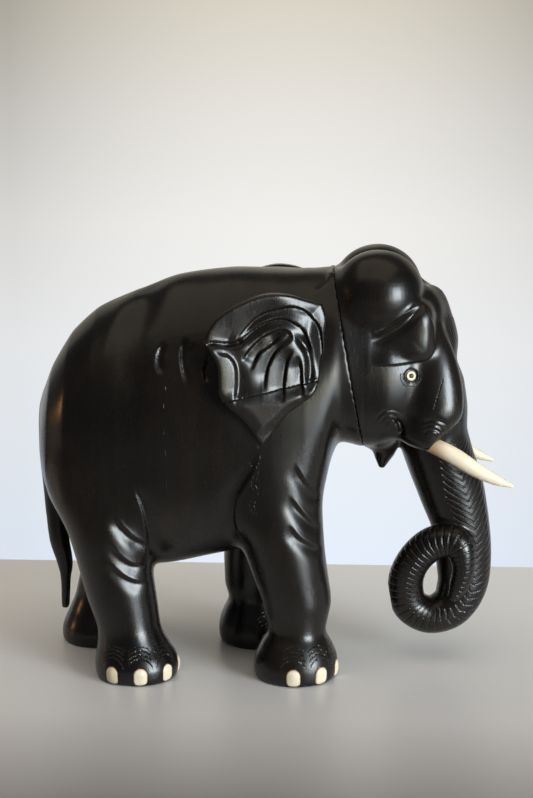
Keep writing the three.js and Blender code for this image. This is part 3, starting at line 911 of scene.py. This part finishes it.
def head():
    block = Block(*HEAD_BOX, HEAD_VOXEL)
    block.add(SKULL_SKIN, blend=0)
    block.add(TORSO_SKIN, blend=2)
    for side in SIDES.values():
        block.add(ball(DOME, side), blend=8)
        block.add(ball(BROW, side, squareness=3.6), blend=2.5)
        block.add(ball(TEMPLE, side), blend=5)
        block.add(limb(on(side, CHEEK)), blend=7)
        block.add(limb(on(side, SLEEVE)), blend=9)
    block.add(limb(TRUNK), blend=5)
    block.add(limb(JAW, sides=48), blend=5)
    block.cut(GLUE_GAP / 2 - ahead_of_joint(block.axes()))
    wood = block.surface()
    wood.relax(2, held=ahead_of_joint(wood.points.T) < 1.5 * HEAD_VOXEL)
    carve_head(wood)
    hand_in(wood.piece("head_carving", HEAD_EBONY), "ebony", "head_block")


body()
head()

# ------ tusks, ears, eyes and toenails

for word, side in SIDES.items():
    rows = [(x - TUSK_SET_BACK[side], *rest) for x, *rest in on(side, TUSK)]
    points, triangles = limb(rows, 48, rings_per_row=10)
    points += 0.1 * waves(points, seed=21, scale=14)[:, None] * np.array([0, 1, 1])
    root = rows[1][0]
    # Painted shade: the tusk is painted darker towards its root, at the socket.
    joint_shade = 0.8 * smooth(root + TUSK_SHADE_SPAN - points[:, 0], 0, TUSK_SHADE_SPAN - 2)
    tusk = smooth_piece(f"{word}_tusk_carving", points, triangles, TUSK_BONE, {"joint_shade": joint_shade})
    hand_in(tusk, "bone", f"{word}_tusk")

EAR_RUNS = [
    [
        (-44.7, 243), (-40.3, 253.2), (-33.6, 261), (-17.1, 270),
        (-2.9, 273.9), (11.3, 272.9), (22, 269.5), (33, 266),
    ],
    [
        (33, 266), (36, 256), (34.5, 245), (34.3, 232.6),
        (32.2, 215.7), (26.7, 204.4), (10.1, 191.7), (-6.4, 171),
    ],
    [(-6.4, 171), (-17.5, 188), (-31.5, 201.5), (-34.7, 207), (-36.2, 228), (-44.7, 243)],
]
EAR_THICKNESS = 12
EAR_SUNK = 0.5
EAR_RIM = 2.2
EAR_FRONT = (36, 64)
EAR_REAR = (-45, 79)
EAR_LIFT = {RIGHT: 0, LEFT: 6}
EAR_CRACK = {"at": (-31.9, 201.9), "slope": 0.2}
# Each ridge is a step that falls towards the ear's middle: curve, depth, how far it takes to climb back.
EAR_RIDGES = [
    ([
        (-24, 243), (-17, 252), (-11, 258), (-4, 262), (4, 264), (14, 265), (22, 262),
        (27, 257), (31, 251), (33, 243), (34, 232), (34, 223), (32, 213), (28, 206),
    ], 3.0, 7.5),
    ([
        (-24, 239), (-20, 244), (-14, 249), (-8, 253), (-1, 256), (7, 257), (13, 255),
        (19, 251), (22, 247), (25, 239), (27, 232),
    ], 2.6, 5.5),
    ([
        (-20, 229), (-17, 234), (-12, 240), (-6, 245), (0, 248), (6, 250), (11, 248), (15, 242),
    ], 2.2, 5.0),
]
EAR_RIBS = [
    [(-14, 221), (-12, 226), (-8, 234), (-1, 239), (7, 245), (11, 246)],
    [(-4, 208), (-4, 216), (-2, 226), (3, 235), (9, 240), (14, 244)],
    [(8, 199), (8, 210), (9, 221), (11, 230), (15, 237)],
    [(21, 203), (20, 215), (19, 226), (17, 233)],
]
EAR_DEEP_CUT = [(13, 249), (19, 242), (23, 236), (25, 227), (25, 215), (23, 206)]
EAR_NOTCH = [(-45, 242), (-38, 242.5), (-31, 241.5), (-25, 241.5), (-19, 245)]
EAR_REAR_STEP = [(-39, 239), (-34, 235), (-28, 233), (-24, 227), (-23, 216), (-24, 206), (-25, 199)]
EAR_LOW_EDGE = [(27, 204), (20, 198), (11, 192), (5, 186), (-3, 179), (-7, 172)]


def outline_distance(spots):
    """Distance out of the ear's outline."""
    apart = np.full(len(spots), 1e3)
    inside = np.zeros(len(spots), bool)
    for run in EAR_RUNS:
        line = spline(run, np.linspace(0, 1, 60))
        for a, b in zip(line[:-1], line[1:]):
            along = b - a
            t = np.clip((spots - a) @ along / (along @ along), 0, 1)
            apart = np.minimum(apart, np.linalg.norm(spots - a - t[:, None] * along, axis=1))
            crosses = (a[1] > spots[:, 1]) != (b[1] > spots[:, 1])
            rise = along[1] if along[1] else 1e-9
            inside ^= crosses & (spots[:, 0] < a[0] + (spots[:, 1] - a[1]) / rise * along[0])
    return np.where(inside, -apart, apart)


def over_glue_line(x, z):
    """Height over the line where the right ear's tip broke off."""
    return z - EAR_CRACK["at"][1] - EAR_CRACK["slope"] * (x - EAR_CRACK["at"][0])


def ear_relief(spots, edge):
    """The height of the ear's carved face over a plain plate."""
    x, z = spots.T
    upper = smooth(z, 200, 212)
    # The blade swells to its rim, falls towards the neck and is hollowed at its front.
    relief = 2.0 * smooth(edge, -15, -1) * upper - 1.4 - 0.055 * np.maximum(x + 25, 0)
    relief += (2.0 - 0.7 * smooth(edge, -9, -0.5)) * (1 - upper)
    relief -= 4.5 * smooth(x, 2, 30) * smooth(z, 204, 232) * smooth(edge, -12, -1)
    for curve, depth, soft in EAR_RIDGES:
        relief += terrace(Stroke(spots, curve, 26), depth, soft, edge=0.9, ends=0.12, soft_side=-1)
    for curve in EAR_RIBS:
        relief += terrace(Stroke(spots, curve, 20), 3.0, soft=6.5, edge=0.9, ends=0.3, soft_side=1)
    relief += groove(Stroke(spots, EAR_DEEP_CUT, 16), 2.6, width=2.6)
    notch = Stroke(spots, EAR_NOTCH, 14)
    relief += fold(notch, 3.4, sharp=1.0, soft=3.0, lip=0.6, ends=0.16, soft_side=-1)
    rear = Stroke(spots, EAR_REAR_STEP, 16)
    relief += terrace(rear, 2.0, soft=9, edge=1.6, ends=0.2, soft_side=1)
    facet = Stroke(spots, EAR_LOW_EDGE, 12)
    relief -= 0.3 * np.maximum(6.5 - facet.distance, 0) * smooth(facet.along, 0, 0.15)
    return relief


def ear(side, node, keep=0):
    """One ear, or the part of it over (keep = 1) or under (keep = -1) its glue line."""
    block = Block(*EAR_BOX, EAR_VOXEL)
    x, out, z = block.axes()
    flat_x, flat_z = np.meshgrid(x.ravel(), z.ravel(), indexing="ij")
    spots = np.c_[flat_x.ravel(), flat_z.ravel()]
    edge = outline_distance(spots)
    face = EAR_THICKNESS - EAR_SUNK + ear_relief(spots, edge)
    shape = (x.size, 1, z.size)
    field = round_max(edge.reshape(shape), out - face.reshape(shape), EAR_RIM)
    if keep:
        over = over_glue_line(x, z) / math.hypot(1, EAR_CRACK["slope"])
        field = np.maximum(field, GLUE_GAP / 2 - keep * over)
    block.field = round_max(field, -out, 0.5).astype(np.float32)
    plate = block.surface()
    over = over_glue_line(plate.points[:, 0], plate.points[:, 2])
    plate.relax(3, held=np.abs(over) < 2 * EAR_VOXEL * abs(keep))
    placed = plate.points.copy()
    tilt = (EAR_REAR[1] - EAR_FRONT[1]) / (EAR_REAR[0] - EAR_FRONT[0])
    seat = EAR_FRONT[1] - EAR_THICKNESS + tilt * (placed[:, 0] - EAR_FRONT[0])
    placed[:, 1] = side * (placed[:, 1] + seat)
    placed[:, 2] += EAR_LIFT[side]
    wood = Surface(placed, plate.quads)
    wood.marks = {"scratch": np.full(len(placed), UNMARKED)}
    hand_in(wood.piece(f"{node}_carving", EAR_EBONY), "ebony", node)


ear(RIGHT, "right_ear", keep=1)
ear(RIGHT, "right_ear_tip", keep=-1)
ear(LEFT, "left_ear")


def eye_part(word, part, profile, material, slot):
    """A turned piece on the eye's axis: rows of height and radius."""
    node = f"{word}_eye_{part}"
    at, out = eye_point(SIDES[word])
    rows = [(*(at + out * height), radius, radius) for height, radius in profile]
    points, triangles = limb(rows, 40, rings_per_row=4, facing=tuple(out))
    hand_in(smooth_piece(f"{node}_turned", points, triangles, material, {}), slot, node)


EYE_RING_PROFILE = [
    (-4, 3.2), (0.2, 3.3), (0.7, 3.05), (0.85, 2.5), (0.75, 1.9), (0.4, 1.5), (-1.6, 1.4),
]
PUPIL_PROFILE = [(-1.4, 1.2), (0.3, 1.25), (0.6, 1.0), (0.75, 0.5), (0.78, 0.1)]
for word in SIDES:
    eye_part(word, "ring", EYE_RING_PROFILE, EYE_BONE, "bone")
    eye_part(word, "pupil", PUPIL_PROFILE, PUPIL_EBONY, "ebony")


NAIL_PROUD = 0.35
NAIL_LIFT = 0.05


def toenail(name, word, index, turn):
    """An arched inlay with a domed face that stands a little proud of the foot."""
    side = SIDES[word]
    rows = np.array(leg_rows(FOOT_ROWS[name], side, STEP[name]))
    centre, radius = foot_centre(name, side)
    out = np.array([math.sin(turn), side * math.cos(turn)])
    across = np.array([out[1], -out[0]])
    inner = radius - NAIL["depth"] - 2
    block = Block(*NAIL_BOX, NAIL_VOXEL)
    u, w, v = block.axes()  # across, out and up
    section = spline(rows[:, [0, 1, 4]], np.interp(v.ravel(), rows[:, 2], np.linspace(0, 1, len(rows))))
    reach = (section[:, :2] - centre) @ out
    girth = section[:, 2].reshape(v.shape)
    skin = np.sqrt(girth**2 - u**2) + reach.reshape(v.shape) - inner
    arch = nail_arch(u + 0 * v, v + 0 * u)
    dome = NAIL_PROUD + 0.7 * smooth(-arch, 0, 4.5)
    field = round_max(arch, w - skin - dome, 1.2)
    block.field = round_max(field, -(w - 0.6), 0.6).astype(np.float32)
    made = block.surface()
    made.relax(1)
    local = made.points
    flat = centre + np.outer(local[:, 1] + inner, out) + np.outer(local[:, 0], across)
    inlay = Surface(np.c_[flat, np.maximum(local[:, 2], NAIL_LIFT)], made.quads)
    rim = nail_arch(local[:, 0], local[:, 2])
    # Painted shade: the toenail is painted darker along its rim, in the groove around it.
    inlay.marks = {"joint_shade": 0.8 * smooth(rim, -1.0, -0.1)}
    node = f"{word}_{name}_toenail_{index + 1}"
    hand_in(inlay.piece(f"{node}_inlay", NAIL_BONE), "bone", node)


for word in SIDES:
    for foot in FOOT_ROWS:
        for index, turn in enumerate(nail_turns(foot)):
            toenail(foot, word, index, turn)

for name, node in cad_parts.items():
    if "dowel" in name:
        node.data.materials[0] = DOWEL_WOOD

# ------ table, light and camera

VIEW_TURN = math.radians(3)
VIEW_DIP = math.radians(10.8)
CAMERA_DISTANCE = 1.15
CAMERA_HEIGHT = 0.41
CAMERA_AIM_X = -0.00456
CAMERA_LENS = 74.44


def aim(thing, direction):
    thing.rotation_mode = "QUATERNION"
    thing.rotation_quaternion = Vector(direction).to_track_quat("-Z", "Y")


def camera():
    data = bpy.data.cameras.new("camera")
    data.lens = CAMERA_LENS
    data.sensor_width = 36
    view = linked("camera", data)
    view.location = (
        CAMERA_AIM_X + CAMERA_DISTANCE * math.sin(VIEW_TURN),
        -CAMERA_DISTANCE * math.cos(VIEW_TURN),
        CAMERA_HEIGHT,
    )
    flat = math.cos(VIEW_DIP)
    aim(view, (-math.sin(VIEW_TURN) * flat, math.cos(VIEW_TURN) * flat, -math.sin(VIEW_DIP)))
    bpy.context.scene.camera = view


LIT_SPOT = Vector((0.02, -0.03, 0.2))


def softbox(name, turn, rise, distance, size, power, colour):
    """An area light on the elephant, from a turn (0 is its right side) and a rise in degrees."""
    data = bpy.data.lights.new(name, "AREA")
    data.shape = "RECTANGLE"
    data.size, data.size_y = size
    data.energy = power
    data.color = colour
    light = linked(name, data)
    turn, rise = math.radians(turn), math.radians(rise)
    out = Vector((math.sin(turn) * math.cos(rise), -math.cos(turn) * math.cos(rise), math.sin(rise)))
    light.location = LIT_SPOT + out * distance
    aim(light, -out)
    light.visible_camera = False
    return light


def sheet_of(name, material, wide, start, end):
    """A flat sheet from one edge to another, each at a y and a z."""
    mesh = bpy.data.meshes.new(name)
    corners = [(-wide, *start), (wide, *start), (wide, *end), (-wide, *end)]
    mesh.from_pydata(corners, [], [(0, 1, 2, 3)])
    mesh.materials.append(material)
    linked(name, mesh)


def apart(shade):
    """Object space as three sockets, x, y and z."""
    return shade.node("SeparateXYZ", {0: shade.place()}).outputs


TABLE = 2.4, (-2.2, 0), (0.235, 0)
# Painted light and shade: the table's colour from its near edge in the picture, painted dark, to its far
# one, painted pale where the wall's glow reflects.
TABLE_PAINTED_LIGHT = [
    (0.0, (0.26, 0.245, 0.24)),
    (0.35, (0.61, 0.60, 0.605)),
    (1.0, (0.83, 0.84, 0.85)),
]


def table():
    material, shade = new_material("table_top")
    mottle = shade.noise(3.0, (1, 1, 1), detail=3.0)
    _, y, _ = apart(shade)
    # Painted light and shade: the top's colour runs from dark near the camera to pale near the wall.
    tone = shade.ramp(shade.mapped(y, -0.26, 0.14, 0.0, 1.0), TABLE_PAINTED_LIGHT)
    shade.surface({
        "Base Color": shade.mixed(shade.mapped(mottle, 0.3, 0.7, 0.0, 0.06), tone, (0.2, 0.2, 0.2)),
        "Roughness": shade.mapped(mottle, 0.3, 0.7, 0.3, 0.36),
    })
    sheet_of("table", material, *TABLE)


WALL = 3.0, (2.4, -1.6), (2.4, 2.4)
WALL_VIEW = {"x": -0.08, "half": 0.6, "low": -0.62, "high": 0.6}
# From the bottom of the wall in the picture to its top.
WALL_TONES = [
    (0.0, (0.79, 0.865, 0.97)),
    (0.3, (0.86, 0.885, 0.915)),
    (0.6, (0.885, 0.875, 0.85)),
    (0.8, (0.80, 0.775, 0.73)),
    (1.0, (0.69, 0.65, 0.55)),
]


def wall():
    """A glowing wall that dims towards the picture's upper corners."""
    material, shade = new_material("wall")
    shade.nodes.remove(shade.nodes["Principled BSDF"])
    x, _, z = apart(shade)
    tone = shade.ramp(shade.mapped(z, WALL_VIEW["low"], WALL_VIEW["high"], 0.0, 1.0), WALL_TONES)
    left, right = WALL_VIEW["x"] - WALL_VIEW["half"], WALL_VIEW["x"] + WALL_VIEW["half"]
    across = shade.mapped(x, left, right, -1.0, 1.0)
    upward = shade.mapped(z, -0.15, WALL_VIEW["high"], 0.0, 1.0)
    sideways = shade.maths("MULTIPLY", across, across)
    corner = shade.maths("MULTIPLY", sideways, shade.maths("ADD", upward, 0.35))
    dim = shade.mapped(corner, 0.0, 1.35, 1.0, 0.58)
    glow = shade.node("Emission", {"Color": tone, "Strength": dim})
    shade.feed(shade.nodes["Material Output"].inputs["Surface"], glow.outputs[0])
    sheet_of("wall", material, *WALL)


def surroundings():
    """Dim room light, and a plain pale backdrop where the camera sees past the wall."""
    world = bpy.data.worlds.new("studio")
    bpy.context.scene.world = world
    shade = Shading(world)
    room = shade.nodes["Background"]
    shade.feed(room.inputs["Color"], (0.9, 0.95, 1.0))
    shade.feed(room.inputs["Strength"], 0.09)
    seen = shade.node("Background", {"Color": (0.78, 0.77, 0.75), "Strength": 1.0})
    path = shade.node("LightPath")
    inputs = {0: path.outputs["Is Camera Ray"], 1: room.outputs[0], 2: seen.outputs[0]}
    mix = shade.node("MixShader", inputs)
    shade.feed(shade.nodes["World Output"].inputs["Surface"], mix.outputs[0])


camera()
table()
wall()
surroundings()
# Turn, rise and distance, size, watts and colour.
softbox("window", 48, 4, 1.9, (0.75, 1.0), 58, (0.84, 0.93, 1.0))
softbox("sill", 40, -7, 1.7, (0.9, 0.16), 7, (1.0, 0.93, 0.62))
softbox("ceiling", -20, 76, 2.2, (3.2, 2.6), 22, (1.0, 0.93, 0.84)).visible_glossy = False
softbox("shelf", -20, 76, 2.05, (3.2, 2.6), 15, (1.0, 0.86, 0.66))
softbox("lamp", -93, 3, 1.5, (0.05, 0.12), 0.8, (1.0, 0.5, 0.22))
bpy.context.scene.view_settings.view_transform = "Standard"
